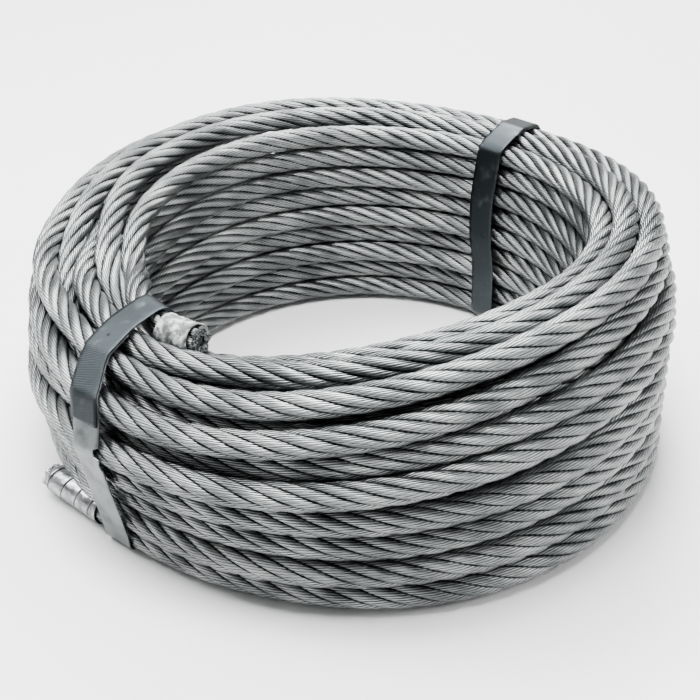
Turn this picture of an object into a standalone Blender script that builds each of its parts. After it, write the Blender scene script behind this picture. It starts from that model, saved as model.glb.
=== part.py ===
"""Coil of wire rope, lying flat on a floor and held together by two steel straps.

The rope is wound on itself in four columns of turns. Both of its cut ends lie
at the front strap and are wrapped in tape. Units are metres, +Z is up, and the
coil's axis is the Z axis. The underside of the straps rests on z = 0.
"""
import math

import bpy
from mathutils import Vector

# Rope and winding
ROPE_DIAMETER = 0.010
BORE_RADIUS = 0.0880
COLUMN_PITCH = 0.0108
ROW_PITCH = 0.0097
ROWS_IN_COLUMN = (8, 9, 9, 8)
CREST_REACH = math.radians(60)
CREST_STEP = math.radians(41)
TURN_STEPS = 40
MERGE_DISTANCE = 0.00001

# Space between pieces that touch on the real coil
CLEARANCE = 0.0003

# Steel straps
STRAP_WIDTH = 0.0127
STRAP_THICKNESS = 0.0005
STRAP_BEND_STEP = math.radians(31)
FRONT_STRAP_ANGLE = math.radians(228)
BACK_STRAP_ANGLE = math.radians(48)
LAP_SETBACK = 0.0020
FRONT_LAP_LENGTH = 0.022
FRONT_LAP_SLANT = 0.0012
BACK_TAIL_LENGTH = 0.006
NOTCH_WIDTH = 0.0030
NOTCH_HEIGHT = 0.0040
NOTCH_DROP = 0.0060

# Rope ends and the tape wound round them
TOP_END_ANGLE = math.radians(243)
TOP_END_CLIMB = math.radians(22)
TOP_END_RISE = 0.0050
BOTTOM_END_LENGTH = 0.034
BOTTOM_END_ROOT = math.radians(14)
END_STEPS = 5
TAPE_THICKNESS = 0.0004
TOP_TAPE_LENGTH = 0.0155
TOP_TAPE_SETBACK = 0.0010
BOTTOM_TAPE_LENGTH = 0.024
BOTTOM_TAPE_SETBACK = 0.0012
END_BEVEL_RESOLUTION = 3

# Worked out from the sizes above
ROPE_RADIUS = ROPE_DIAMETER / 2
LOWEST_TURN = STRAP_THICKNESS + CLEARANCE + ROPE_RADIUS
LAST_COLUMN = len(ROWS_IN_COLUMN) - 1
STRAP_OFFSET = ROPE_RADIUS + CLEARANCE
LAP_OFFSET = STRAP_OFFSET + STRAP_THICKNESS + CLEARANCE
TAPE_INNER_RADIUS = ROPE_RADIUS + CLEARANCE
GROOVE_RADIUS = TAPE_INNER_RADIUS + TAPE_THICKNESS + CLEARANCE


def column_radius(column):
    """Distance from the coil's axis to the rope's centre in one column."""
    return BORE_RADIUS + ROPE_RADIUS + column * COLUMN_PITCH


def row_height(row):
    """Height of the rope's centre in one row."""
    return LOWEST_TURN + row * ROW_PITCH


def turn_centre(column, row):
    """Centre of one turn as (radius, height)."""
    return (column_radius(column), row_height(row))


def rim_turns():
    """Turns on the outside of the section, counterclockwise from the bore's foot."""
    foot = [turn_centre(column, 0) for column in range(len(ROWS_IN_COLUMN))]
    outer = [turn_centre(LAST_COLUMN, row) for row in range(1, ROWS_IN_COLUMN[-1])]
    inner_columns = range(LAST_COLUMN - 1, 0, -1)
    top = [turn_centre(column, ROWS_IN_COLUMN[column] - 1) for column in inner_columns]
    bore = [turn_centre(0, row) for row in range(ROWS_IN_COLUMN[0] - 1, 0, -1)]
    return foot + outer + top + bore


def heading(start, end):
    """Direction from one centre to the next, as an angle."""
    return math.atan2(end[1] - start[1], end[0] - start[0])


def arc(centre, radius, start, sweep, step):
    """Points on an arc with segments no longer than step."""
    segments = max(1, math.ceil(sweep / step - 1e-6))
    angles = [start + sweep * i / segments for i in range(segments + 1)]
    return [(centre[0] + radius * math.cos(a), centre[1] + radius * math.sin(a)) for a in angles]


def bend(previous, centre, following, radius, reach, step):
    """Arc round one turn, on the outer side of the way from previous to following."""
    incoming = heading(previous, centre)
    turn = (heading(centre, following) - incoming) % (2 * math.pi)
    return arc(centre, radius, incoming - math.pi / 2 - reach, turn + 2 * reach, step)


def new_mesh_object(name, collection, vertices, faces):
    """Mesh object built from plain lists."""
    mesh = bpy.data.meshes.new(name)
    mesh.from_pydata(vertices, [], faces)
    obj = bpy.data.objects.new(name, mesh)
    collection.objects.link(obj)
    return obj


def add_boolean(obj, cutter, operation):
    """Exact Boolean modifier."""
    modifier = obj.modifiers.new(cutter.name, "BOOLEAN")
    modifier.operation = operation
    modifier.solver = "EXACT"
    modifier.object = cutter


def plain_material(name, colour, roughness, metallic):
    """Principled material from its colour, roughness and metallic value."""
    material = bpy.data.materials.new(name)
    material.use_nodes = True
    shader = material.node_tree.nodes["Principled BSDF"]
    shader.inputs["Base Color"].default_value = (*colour, 1.0)
    shader.inputs["Roughness"].default_value = roughness
    shader.inputs["Metallic"].default_value = metallic
    material.diffuse_color = (*colour, 1.0)
    return material


def polar(radius, angle, height):
    """Point at a radius and angle round the coil's axis."""
    return Vector((radius * math.cos(angle), radius * math.sin(angle), height))


def shares(steps):
    """Even steps from 0 to 1."""
    return [i / steps for i in range(steps + 1)]


def top_end_path():
    """Route of the rope's upper end, which climbs out of the top turn and lies half on it."""
    radius = column_radius(0)
    low = row_height(ROWS_IN_COLUMN[0] - 1)
    settled = FRONT_STRAP_ANGLE - STRAP_WIDTH / radius
    points = []
    for share in shares(END_STEPS)[:-1]:
        eased = share * share * (3 - 2 * share)
        angle = settled - TOP_END_CLIMB * (1 - share)
        points.append(polar(radius, angle, low + TOP_END_RISE * eased))
    for share in shares(END_STEPS):
        angle = settled + (TOP_END_ANGLE - settled) * share
        points.append(polar(radius, angle, low + TOP_END_RISE))
    return points


def bottom_end_path():
    """Route of the rope's lower end, which leaves the outer column in a straight line."""
    radius = column_radius(LAST_COLUMN)
    points = []
    for share in shares(END_STEPS):
        angle = FRONT_STRAP_ANGLE + BOTTOM_END_ROOT * (1 - share)
        points.append(polar(radius, angle, row_height(0)))
    leaving = points[-1]
    away = Vector((math.sin(FRONT_STRAP_ANGLE), -math.cos(FRONT_STRAP_ANGLE), 0.0))
    for share in shares(END_STEPS)[1:]:
        points.append(leaving + away * BOTTOM_END_LENGTH * share)
    return points


def point_along(points, distance):
    """Point at a distance along a route, measured from its start."""
    for a, b in zip(points, points[1:]):
        span = (b - a).length
        if distance <= span:
            return a.lerp(b, distance / span)
        distance -= span
    return points[-1].copy()


def trim_path(points, length, setback):
    """Stretch of a route that has the given length and ends a setback before the tip."""
    marks = [0.0]
    for a, b in zip(points, points[1:]):
        marks.append(marks[-1] + (b - a).length)
    end = marks[-1] - setback
    begin = end - length
    kept = [point.copy() for point, mark in zip(points, marks) if begin < mark < end]
    return [point_along(points, begin), *kept, point_along(points, end)]


def tube(name, points, radius, capped):
    """Round tube along a route, as a mesh object that is in no collection yet."""
    curve = bpy.data.curves.new(name, "CURVE")
    curve.dimensions = "3D"
    curve.bevel_depth = radius
    curve.bevel_resolution = END_BEVEL_RESOLUTION
    curve.use_fill_caps = capped
    spline = curve.splines.new("POLY")
    spline.points.add(len(points) - 1)
    for point, target in zip(spline.points, points):
        point.co = (*target, 1.0)
    source = bpy.data.objects.new(name, curve)
    bpy.context.scene.collection.objects.link(source)
    bpy.context.view_layer.update()
    mesh = bpy.data.meshes.new_from_object(source)
    bpy.data.objects.remove(source)
    bpy.data.curves.remove(curve)
    return bpy.data.objects.new(name, mesh)


def groove_cutter(name, points, tape_length, collection):
    """Solid that clears a rope end and its tape out of the turns beside them."""
    reach = TAPE_THICKNESS + CLEARANCE
    route = trim_path(points, tape_length + reach, 0.0)
    route.append(route[-1] + (route[-1] - route[-2]).normalized() * GROOVE_RADIUS)
    cutter = tube(name, route, GROOVE_RADIUS, True)
    collection.objects.link(cutter)
    cutter.hide_render = True
    cutter.display_type = "WIRE"
    return cutter


def make_rope(collection, cutters):
    """The whole rope: a turned ring of turns with its bore, and the two ends."""
    turns = rim_turns()
    count = len(turns)
    outline = []
    for i, centre in enumerate(turns):
        neighbours = (turns[i - 1], centre, turns[(i + 1) % count])
        outline += bend(*neighbours, ROPE_RADIUS, CREST_REACH, CREST_STEP)
    outline.reverse()
    vertices = [(radius, 0.0, height) for radius, height in outline]
    edges = [(i, (i + 1) % len(vertices)) for i in range(len(vertices))]
    mesh = bpy.data.meshes.new("rope_coil")
    mesh.from_pydata(vertices, edges, [])
    rope = bpy.data.objects.new("rope_coil", mesh)
    collection.objects.link(rope)
    screw = rope.modifiers.new("turned", "SCREW")
    screw.axis = "Z"
    screw.angle = 2 * math.pi
    screw.steps = TURN_STEPS
    screw.render_steps = TURN_STEPS
    screw.use_merge_vertices = True
    screw.merge_threshold = MERGE_DISTANCE
    screw.use_smooth_shade = False
    ends = (
        ("top_end", top_end_path(), TOP_TAPE_LENGTH + TOP_TAPE_SETBACK),
        ("bottom_end", bottom_end_path(), BOTTOM_TAPE_LENGTH + BOTTOM_TAPE_SETBACK),
    )
    for name, route, cleared in ends:
        add_boolean(rope, groove_cutter(name + "_groove", route, cleared, cutters), "DIFFERENCE")
    for name, route, cleared in ends:
        end = tube(name, route, ROPE_RADIUS, True)
        end.hide_render = True
        end.display_type = "WIRE"
        cutters.objects.link(end)
        add_boolean(rope, end, "UNION")
    return rope


def make_tape(name, route, collection):
    """Sleeve of tape round a rope end, open at both ends."""
    sleeve = tube(name, route, TAPE_INNER_RADIUS, False)
    collection.objects.link(sleeve)
    wall = sleeve.modifiers.new("wall", "SOLIDIFY")
    wall.thickness = TAPE_THICKNESS
    wall.offset = 1.0
    return sleeve


def strap_corners(top_row):
    """Turns that a strap bends round, counterclockwise from the outer column's top."""
    bore_dip = math.tan(math.pi / TURN_STEPS) * STRAP_WIDTH / 2
    bore_column = column_radius(0) - bore_dip
    outer_top = turn_centre(LAST_COLUMN, ROWS_IN_COLUMN[-1] - 1)
    middle_columns = range(LAST_COLUMN - 1, 0, -1)
    high = [turn_centre(column, ROWS_IN_COLUMN[column] - 1) for column in middle_columns]
    bore = [(bore_column, top_row), (bore_column, row_height(0))]
    corners = [outer_top, *high, *bore, turn_centre(LAST_COLUMN, 0)]
    return [corner for i, corner in enumerate(corners) if bends_round(corners, i)]


def bends_round(corners, i):
    """Whether a taut strap touches this turn, so that it stands proud of its neighbours."""
    before = heading(corners[i - 1], corners[i])
    after = heading(corners[i], corners[(i + 1) % len(corners)])
    return (after - before) % (2 * math.pi) < math.pi


def strap_bend(corners, i, offset):
    """Bend of a strap round one of its corners, at an offset from the turn's centre."""
    following = corners[(i + 1) % len(corners)]
    return bend(corners[i - 1], corners[i], following, offset, 0.0, STRAP_BEND_STEP)


def make_strap(name, path, slant, angle, collection):
    """Flat strip bent along a path of (radius, height) points, cut off at a slant."""
    half = STRAP_WIDTH / 2
    vertices = []
    for i, (radius, height) in enumerate(path):
        cut = slant if i == 0 else 0.0
        vertices.append((radius, -half, height + cut))
        vertices.append((radius, half, height - cut))
    faces = [(2 * i, 2 * i + 1, 2 * i + 3, 2 * i + 2) for i in range(len(path) - 1)]
    strap = new_mesh_object(name, collection, vertices, faces)
    strap.rotation_euler.z = angle
    sheet = strap.modifiers.new("sheet", "SOLIDIFY")
    sheet.thickness = STRAP_THICKNESS
    sheet.offset = 1.0
    sheet.use_even_offset = True
    return strap


def cut_notch(strap, radius, height, cutters):
    """Notch in one edge of the front strap, where its joint was pressed."""
    bpy.ops.mesh.primitive_cube_add(size=1.0)
    notch = bpy.context.object
    notch.name = "front_strap_notch"
    for owner in notch.users_collection:
        owner.objects.unlink(notch)
    cutters.objects.link(notch)
    across = polar(STRAP_WIDTH / 2, FRONT_STRAP_ANGLE + math.pi / 2, 0.0)
    notch.location = polar(radius, FRONT_STRAP_ANGLE, height) + across
    notch.rotation_euler.z = FRONT_STRAP_ANGLE
    notch.scale = (STRAP_THICKNESS + 2 * CLEARANCE, 2 * NOTCH_WIDTH, NOTCH_HEIGHT)
    notch.hide_render = True
    notch.display_type = "WIRE"
    add_boolean(strap, notch, "DIFFERENCE")


def make_front_strap(collection, cutters):
    """Strap over both rope ends, lapped on the coil's outer side."""
    corners = strap_corners(top_end_path()[-1].z)
    wall, top = corners[0]
    finish = (wall + STRAP_OFFSET, top - LAP_SETBACK)
    cut_height = finish[1] - FRONT_LAP_LENGTH
    path = [(wall + LAP_OFFSET, cut_height), *strap_bend(corners, 0, LAP_OFFSET)]
    for i in range(1, len(corners)):
        path += strap_bend(corners, i, STRAP_OFFSET)
    path.append(finish)
    strap = make_strap("front_strap", path, FRONT_LAP_SLANT, FRONT_STRAP_ANGLE, collection)
    notch_radius = wall + STRAP_OFFSET + STRAP_THICKNESS / 2
    cut_notch(strap, notch_radius, cut_height - FRONT_LAP_SLANT - NOTCH_DROP, cutters)
    return strap


def make_back_strap(collection):
    """Strap lapped on the coil's top, with a loose end that sticks out over the edge."""
    corners = strap_corners(row_height(ROWS_IN_COLUMN[0] - 1))
    wall = corners[0][0]
    shoulder = corners[1]
    outward = (wall + ROPE_DIAMETER, shoulder[1])
    path = [(wall + BACK_TAIL_LENGTH, shoulder[1] + LAP_OFFSET)]
    path += bend(outward, shoulder, corners[2], LAP_OFFSET, 0.0, STRAP_BEND_STEP)
    for i in [*range(2, len(corners)), 0]:
        path += strap_bend(corners, i, STRAP_OFFSET)
    last = Vector(path[-1])
    ahead = Vector(strap_bend(corners, 1, STRAP_OFFSET)[0]) - last
    path.append(tuple(last + ahead * (1.0 - LAP_SETBACK / ahead.length)))
    return make_strap("back_strap", path, 0.0, BACK_STRAP_ANGLE, collection)


def main():
    """Builds the coil in its own collection, in an empty scene."""
    for obj in list(bpy.data.objects):
        bpy.data.objects.remove(obj)
    collection = bpy.data.collections.new("coil_of_wire_rope")
    cutters = bpy.data.collections.new("cutters")
    for group in (collection, cutters):
        bpy.context.scene.collection.children.link(group)
    rope_steel = plain_material("rope_wire", (0.36, 0.38, 0.38), 0.38, 1.0)
    strap_steel = plain_material("blued_strap_steel", (0.11, 0.13, 0.14), 0.33, 1.0)
    pale_tape = plain_material("pale_tape", (0.62, 0.64, 0.63), 0.55, 0.0)
    silver_tape = plain_material("silver_tape", (0.55, 0.56, 0.56), 0.35, 0.9)
    make_rope(collection, cutters).data.materials.append(rope_steel)
    tape_route = trim_path(top_end_path(), TOP_TAPE_LENGTH, TOP_TAPE_SETBACK)
    make_tape("top_end_tape", tape_route, collection).data.materials.append(pale_tape)
    tape_route = trim_path(bottom_end_path(), BOTTOM_TAPE_LENGTH, BOTTOM_TAPE_SETBACK)
    make_tape("bottom_end_tape", tape_route, collection).data.materials.append(silver_tape)
    make_front_strap(collection, cutters).data.materials.append(strap_steel)
    make_back_strap(collection).data.materials.append(strap_steel)


if __name__ == "__main__":
    main()
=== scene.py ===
"""Coil of laid wire rope, bound by two steel straps, as it lies on a pale floor.

Units are metres and +Z is up. The coil's axis is the Z axis, and azimuths run
counterclockwise from +X as seen from above.
"""
import logging
import math
from dataclasses import dataclass, field
from enum import Enum

import bmesh
import bpy
import numpy as np
from mathutils import Matrix, Vector
from mathutils.geometry import convex_hull_2d


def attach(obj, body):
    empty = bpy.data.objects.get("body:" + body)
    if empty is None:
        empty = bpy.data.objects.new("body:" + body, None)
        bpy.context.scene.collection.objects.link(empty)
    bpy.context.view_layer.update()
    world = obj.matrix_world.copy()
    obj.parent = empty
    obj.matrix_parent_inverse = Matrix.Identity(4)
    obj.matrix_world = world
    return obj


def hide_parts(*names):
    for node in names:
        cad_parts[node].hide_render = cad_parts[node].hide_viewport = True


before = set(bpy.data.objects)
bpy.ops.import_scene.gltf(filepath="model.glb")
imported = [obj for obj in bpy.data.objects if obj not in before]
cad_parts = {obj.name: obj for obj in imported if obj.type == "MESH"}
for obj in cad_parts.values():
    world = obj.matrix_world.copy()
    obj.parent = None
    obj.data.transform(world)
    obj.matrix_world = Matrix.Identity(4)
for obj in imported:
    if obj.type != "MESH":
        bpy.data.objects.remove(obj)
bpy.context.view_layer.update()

LOG = logging.getLogger("wire_rope_coil")
FULL_TURN = 2.0 * math.pi
UP = Vector((0.0, 0.0, 1.0))
TINY = 1e-9
# UV map and attributes by which the finishes find their place on a piece
STRIP_UV = "strip"
# the strand finish paints shade, partly grease, where this is low
OUTWARD = "outward"
WIRE_PLACE = "wire_place"
VECTOR = "FLOAT_VECTOR"

Triple = tuple[float, float, float]
Band = tuple[float, float]
Socket = bpy.types.NodeSocket


class Direction(Enum):
    """Way in which a helix winds along its axis."""

    RIGHT_HAND = 1.0
    LEFT_HAND = -1.0


# nodes


class Graph:
    """Adds and joins nodes in one tree."""

    def __init__(self, tree: bpy.types.NodeTree) -> None:
        """Takes the tree that the nodes go in."""
        self.tree = tree

    def add(self, kind: str, inputs: dict[str, object] | None = None,
            **settings: object) -> bpy.types.Node:
        """Adds a node.

        Args:
            kind: Blender's type name of the node.
            inputs: sockets or plain values that go in, by the name of the input.
            settings: attributes to set on it first.

        Returns:
            The new node.
        """
        node = self.tree.nodes.new(kind)
        for name, value in settings.items():
            setattr(node, name, value)
        for name, value in (inputs or {}).items():
            self.feed(node.inputs[name], value)
        return node

    def feed(self, target: Socket, source: object) -> None:
        """Joins or sets an input.

        Args:
            target: the input.
            source: a socket to join to it, or its plain value.
        """
        if isinstance(source, bpy.types.NodeSocket):
            self.tree.links.new(source, target)
        else:
            target.default_value = source

    def math(self, operation: str, *values: object) -> Socket:
        """Adds a number sum.

        Args:
            operation: name of the operation, such as "ADD".
            values: sockets or numbers that go in, in order.

        Returns:
            The result's socket.
        """
        node = self.add("ShaderNodeMath", operation=operation)
        for target, value in zip(node.inputs, values):
            self.feed(target, value)
        return node.outputs[0]

    def plus(self, first: object, second: object) -> Socket:
        """Sum of two numbers."""
        return self.math("ADD", first, second)

    def times(self, first: object, second: object) -> Socket:
        """Product of two numbers."""
        return self.math("MULTIPLY", first, second)

    def vector(self, operation: str, *values: object) -> Socket:
        """Adds a vector sum.

        Args:
            operation: name of the operation, such as "CROSS_PRODUCT".
            values: sockets or vectors that go in, in order.

        Returns:
            The result's socket, the number for a dot product.
        """
        node = self.add("ShaderNodeVectorMath", operation=operation)
        for target, value in zip(node.inputs, values):
            self.feed(target, value)
        return node.outputs["Value" if operation == "DOT_PRODUCT" else "Vector"]

    def scaled(self, vector: object, factor: object) -> Socket:
        """Vector times a number."""
        inputs = {"Vector": vector, "Scale": factor}
        return self.add("ShaderNodeVectorMath", inputs, operation="SCALE").outputs["Vector"]

    def split(self, vector: object) -> bpy.types.bpy_prop_collection:
        """Outputs X, Y and Z of a vector."""
        return self.add("ShaderNodeSeparateXYZ", {"Vector": vector}).outputs

    def ramp(self, value: object, band: Band) -> Socket:
        """Adds a smooth step from 0 to 1.

        Args:
            value: the number's socket.
            band: where the step starts and ends.

        Returns:
            The step's socket.
        """
        inputs = {"Value": value, "From Min": band[0], "From Max": band[1]}
        node = self.add("ShaderNodeMapRange", inputs, interpolation_type="SMOOTHSTEP")
        return node.outputs["Result"]

    def mix(self, factor: object, dark: object, light: object) -> Socket:
        """Mixes two colours.

        Args:
            factor: share of the second one.
            dark: the first one, a socket or its red, green and blue.
            light: the second one, likewise.

        Returns:
            The colour's socket.
        """
        first, second = ((*end, 1.0) if isinstance(end, tuple) else end for end in (dark, light))
        inputs = {"Factor": factor, "A": first, "B": second}
        return self.add("ShaderNodeMix", inputs, data_type="RGBA").outputs["Result"]

    def noise(self, place: object, scale: float, detail: float = 3.0) -> Socket:
        """Noise value at a place."""
        inputs = {"Vector": place, "Scale": scale, "Detail": detail}
        return self.add("ShaderNodeTexNoise", inputs).outputs["Fac"]

    def store(self, geometry: Socket, name: str, kind: str, value: Socket) -> Socket:
        """Keeps a value on the points of a geometry.

        Args:
            geometry: the geometry's socket.
            name: name of the attribute.
            kind: type of the value, such as "FLOAT".
            value: the value's socket.

        Returns:
            The socket of the geometry that has it.
        """
        inputs = {"Geometry": geometry, "Name": name, "Value": value}
        node = self.add("GeometryNodeStoreNamedAttribute", inputs, data_type=kind, domain="POINT")
        return node.outputs["Geometry"]

    def named(self, name: str, kind: str) -> Socket:
        """Value that was kept under a name."""
        node = self.add("GeometryNodeInputNamedAttribute", {"Name": name}, data_type=kind)
        return node.outputs["Attribute"]


# finishes


class ShaderGraph(Graph):
    """Nodes of one material, with its Principled shader."""

    def __init__(self, material: bpy.types.Material) -> None:
        """Takes the material that the nodes go in."""
        super().__init__(material.node_tree)
        self.shader = material.node_tree.nodes["Principled BSDF"]

    def place(self) -> Socket:
        """Object coordinates of the shaded point."""
        return self.add("ShaderNodeTexCoord").outputs["Object"]

    def strip(self) -> bpy.types.bpy_prop_collection:
        """Outputs X and Y of the shaded point's place across and along a strip."""
        return self.split(self.add("ShaderNodeUVMap", uv_map=STRIP_UV).outputs["UV"])

    def roughen(self, value: Socket, gain: float, start: float) -> None:
        """Varies the roughness with a value, by a gain from a start."""
        self.feed(self.shader.inputs["Roughness"], self.plus(self.times(value, gain), start))

    def dress(self, base: Socket, height: Socket, depth: float) -> None:
        """Joins a colour and a bump to the shader.

        Args:
            base: socket of the colour.
            height: socket of the relief, from about 0 to 1.
            depth: depth of the relief in metres.
        """
        bump = self.add("ShaderNodeBump", {"Distance": depth, "Height": height})
        self.feed(self.shader.inputs["Base Color"], base)
        self.feed(self.shader.inputs["Normal"], bump.outputs["Normal"])


@dataclass(frozen=True)
class Finish:
    """Base of every finish: a Principled material with its own name."""

    name: str
    roughness: float
    metallic: float

    def build(self) -> bpy.types.Material:
        """Makes the finished material.

        Returns:
            The material.
        """
        material = bpy.data.materials.new(self.name)
        material.use_nodes = True
        graph = ShaderGraph(material)
        graph.feed(graph.shader.inputs["Roughness"], self.roughness)
        graph.feed(graph.shader.inputs["Metallic"], self.metallic)
        self.paint(graph)
        return material

    def paint(self, graph: ShaderGraph) -> None:
        """Gives the shader its colour and relief."""
        raise NotImplementedError


@dataclass(frozen=True)
class StrandSteel(Finish):
    """Drawn steel wires laid into a strand, with grease and painted shade darkening the crevices
    between the strands and the grooves between the wires.
    """

    bright: Triple = (0.345, 0.360, 0.360)
    dull: Triple = (0.150, 0.159, 0.162)
    grease_and_painted_shade: Triple = (0.010, 0.011, 0.012)
    wires: int = 12
    wire_lay: float = 0.032
    wire_depth: float = 0.00026
    wire_band: Band = (0.12, 0.76)
    wire_power: float = 0.6
    wire_share: float = 0.90
    crevice_grease_and_shade_band: Band = (0.24, 0.50)
    patch_scale: float = 55.0
    patch_band: Band = (0.34, 0.68)
    speck_scale: float = 900.0
    speck_rough: float = 0.22

    def paint(self, graph: ShaderGraph) -> None:
        """Paints the steel, whose wires follow each strand by its own attributes, and paints shade,
        partly grease, into the crevices and wire grooves.

        Args:
            graph: the material's nodes.
        """
        wire_place = graph.add("ShaderNodeAttribute", attribute_name=WIRE_PLACE)
        around = graph.split(wire_place.outputs["Vector"])
        angle = graph.math("ARCTAN2", around["Y"], around["X"])
        run = graph.times(around["Z"], FULL_TURN / self.wire_lay)
        crown = graph.math("ABSOLUTE", graph.math(
            "SINE", graph.times(graph.plus(angle, run), self.wires / 2.0)))
        outward = graph.add("ShaderNodeAttribute", attribute_name=OUTWARD).outputs["Fac"]
        place = graph.place()
        patch = graph.ramp(graph.noise(place, self.patch_scale, 4.0), self.patch_band)
        speck = graph.noise(place, self.speck_scale, 2.0)
        # painted shade, partly grease: the colour mixes toward near-black where the skin faces
        # little outward (crevices between strands) and between the wires' crowns
        wire = graph.times(graph.ramp(crown, self.wire_band), self.wire_share)
        clear_of_grease_and_shade = graph.times(graph.ramp(outward, self.crevice_grease_and_shade_band),
                           graph.plus(wire, 1.0 - self.wire_share))
        base = graph.mix(clear_of_grease_and_shade, self.grease_and_painted_shade, graph.mix(patch, self.dull, self.bright))
        graph.roughen(speck, self.speck_rough, self.roughness - self.speck_rough / 2)
        graph.dress(base, graph.math("POWER", crown, self.wire_power), self.wire_depth)


@dataclass(frozen=True)
class FibreCore(Finish):
    """Dark greased fibre in the middle of the rope."""

    fibre: Triple = (0.012, 0.012, 0.013)
    worn: Triple = (0.030, 0.030, 0.032)
    grain_scale: float = 700.0
    depth: float = 0.0002

    def paint(self, graph: ShaderGraph) -> None:
        """Paints the fibre with fine grain."""
        grain = graph.noise(graph.place(), self.grain_scale)
        graph.dress(graph.mix(grain, self.fibre, self.worn), grain, self.depth)


@dataclass(frozen=True)
class CutSteel(Finish):
    """Bright ends of the cut wires."""

    steel: Triple = (0.46, 0.48, 0.49)
    stain: Triple = (0.07, 0.075, 0.078)
    stain_scale: float = 1200.0
    stain_band: Band = (0.40, 0.62)
    burr_scale: float = 4000.0
    depth: float = 0.00004

    def paint(self, graph: ShaderGraph) -> None:
        """Paints the sheared steel with a dull stain.

        Args:
            graph: the material's nodes.
        """
        stain = graph.ramp(graph.noise(graph.place(), self.stain_scale), self.stain_band)
        burr = graph.noise(graph.place(), self.burr_scale)
        graph.dress(graph.mix(stain, self.stain, self.steel), burr, self.depth)


@dataclass(frozen=True)
class StrapSteel(Finish):
    """Blued strapping steel, rolled with a fine cross pattern and scuffed to grey.

    It is worn bare from one place along it on. The spot is a place across and along.
    """

    blued: Triple = (0.030, 0.036, 0.039)
    scuffed: Triple = (0.155, 0.168, 0.172)
    bare_from: float = 10.0
    bare_fade: float = 0.010
    bare_gain: float = 0.36
    scuff_band: Band = (0.56, 0.98)
    cloud_scale: float = 140.0
    cloud_rough: float = 0.25
    polish: float = 0.12
    spot: Band = (1.0, 1.0)
    spot_size: float = 0.0008
    spot_share: float = 0.2
    cross_pitch: float = 0.0011
    grain_scale: float = 260.0
    grain_share: float = 1.6
    depth: float = 0.00006

    def paint(self, graph: ShaderGraph) -> None:
        """Paints the steel, worn bare past one place and with one dark spot.

        Args:
            graph: the material's nodes.
        """
        place, along = graph.place(), graph.strip()
        bare = graph.ramp(along["Y"], (self.bare_from, self.bare_from + self.bare_fade))
        cloud = graph.noise(place, self.cloud_scale, 5.0)
        scuff = graph.ramp(graph.plus(cloud, graph.times(bare, self.bare_gain)), self.scuff_band)
        squares = [graph.math("POWER", graph.math("SUBTRACT", along[axis], middle), 2.0)
                   for axis, middle in zip("XY", self.spot)]
        clear = graph.ramp(graph.math("SQRT", graph.plus(*squares)),
                           (0.5 * self.spot_size, self.spot_size))
        base = graph.mix(clear, tuple(self.spot_share * c for c in self.blued),
                         graph.mix(scuff, self.blued, self.scuffed))
        rising, falling = (graph.math("SINE", graph.times(
            graph.math(way, along["X"], along["Y"]), FULL_TURN / self.cross_pitch))
            for way in ("ADD", "SUBTRACT"))
        weave = graph.times(graph.times(rising, falling), 0.5)
        graph.roughen(cloud, self.cloud_rough, self.roughness - self.polish)
        grain = graph.times(graph.noise(place, self.grain_scale), self.grain_share)
        graph.dress(base, graph.plus(weave, grain), self.depth)


@dataclass(frozen=True)
class CrinkledTape(Finish):
    """Pale wrap that is creased and rubbed."""

    pale: Triple = (0.52, 0.54, 0.53)
    rubbed: Triple = (0.11, 0.12, 0.12)
    crease_scale: float = 420.0
    rub_scale: float = 330.0
    rub_band: Band = (0.42, 0.64)
    depth: float = 0.0014

    def paint(self, graph: ShaderGraph) -> None:
        """Paints the wrap with creases and grey rubbed patches.

        Args:
            graph: the material's nodes.
        """
        place = graph.place()
        crease = graph.noise(place, self.crease_scale, 6.0)
        rub = graph.ramp(graph.noise(place, self.rub_scale, 5.0), self.rub_band)
        graph.dress(graph.mix(rub, self.rubbed, self.pale), crease, self.depth)


@dataclass(frozen=True)
class SilverTape(Finish):
    """Silvery wrap with dark seams between its windings."""

    silver: Triple = (0.38, 0.40, 0.405)
    seam: Triple = (0.02, 0.022, 0.024)
    pitch: float = 0.0078
    seam_start: Band = (0.02, 0.10)
    seam_end: Band = (0.94, 1.0)
    dirt_share: float = 0.40
    dirt_scale: float = 200.0
    dirt_band: Band = (0.36, 0.60)
    dent_scale: float = 380.0
    dent_share: float = 0.9
    depth: float = 0.0005

    def paint(self, graph: ShaderGraph) -> None:
        """Paints the wrap, whose seams follow the sleeve by its UV map.

        Args:
            graph: the material's nodes.
        """
        place, along = graph.place(), graph.strip()
        winding = graph.math("FRACT", graph.plus(
            graph.math("DIVIDE", along["Y"], self.pitch), along["X"]))
        edge = graph.times(graph.ramp(winding, self.seam_start), graph.math(
            "SUBTRACT", 1.0, graph.ramp(winding, self.seam_end)))
        dirt = graph.ramp(graph.noise(place, self.dirt_scale, 4.0), self.dirt_band)
        metal = graph.mix(dirt, tuple(self.dirt_share * c for c in self.silver), self.silver)
        dents = graph.times(graph.noise(place, self.dent_scale, 4.0), self.dent_share)
        graph.dress(graph.mix(edge, self.seam, metal), graph.plus(edge, dents), self.depth)


@dataclass(frozen=True)
class Plain(Finish):
    """Even finish of the floor."""

    tint: Triple = (0.90, 0.90, 0.90)

    def paint(self, graph: ShaderGraph) -> None:
        """Gives the shader its plain colour."""
        graph.feed(graph.shader.inputs["Base Color"], (*self.tint, 1.0))


# lines and meshes


def marks_along(points: np.ndarray) -> np.ndarray:
    """Distance of each point from the first one along a line."""
    return np.concatenate([[0.0], np.cumsum(np.linalg.norm(np.diff(points, axis=0), axis=1))])


def even(points: np.ndarray, step: float) -> np.ndarray:
    """Spaces points evenly along a line.

    Args:
        points: the line's points.
        step: about how far apart the new ones are.

    Returns:
        The new points.
    """
    marks = marks_along(points)
    wanted = np.linspace(0.0, marks[-1], max(2, int(round(marks[-1] / step)) + 1))
    return np.stack([np.interp(wanted, marks, points[:, i]) for i in range(3)], axis=1)


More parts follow.
